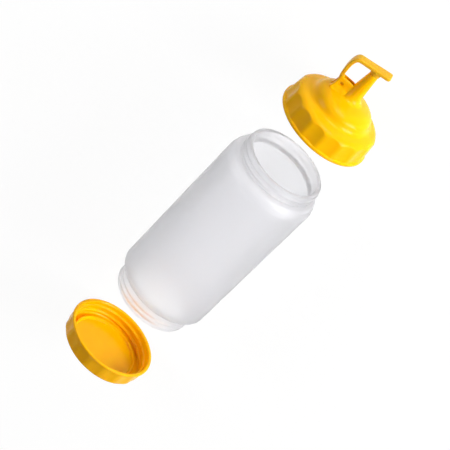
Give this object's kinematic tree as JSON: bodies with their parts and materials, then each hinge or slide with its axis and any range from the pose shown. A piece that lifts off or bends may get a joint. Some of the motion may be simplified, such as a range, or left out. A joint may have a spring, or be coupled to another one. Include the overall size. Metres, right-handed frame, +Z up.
{
  "type": "sauce squeeze bottle",
  "caption": "Two-ended squeeze bottle: frosted body with threaded mouths, screw base, and cone nozzle cap with a hinged lever closure.",
  "frame": {"origin": "on the resting surface under the middle of the laid-out row of base, body and nozzle cap", "axes": "+X along the bottle's axis from the screw base to the nozzle, +Y to the side the lever is hinged on, +Z up"},
  "size_m": [0.3256, 0.0744, 0.0742],
  "materials": {
    "frosted_body": "frosted translucent soft polyethylene",
    "yellow_cap": "glossy yellow moulded polypropylene",
    "yellow_lever": "glossy yellow moulded polypropylene"
  },
  "bodies": {
    "bottle": {"bottle_body": "frosted_body", "screw_base": "yellow_cap", "nozzle_cap": "yellow_cap"},
    "lever": {"lever": "yellow_lever"}
  },
  "joints": [
    {"name": "lever_hinge", "type": "hinge", "parent": "bottle", "child": "lever", "pos_m": [0.13558, 0.01188, 0.03742], "axis": [0, -0.1392, 0.9903], "range_deg": [0, 90]}
  ]
}
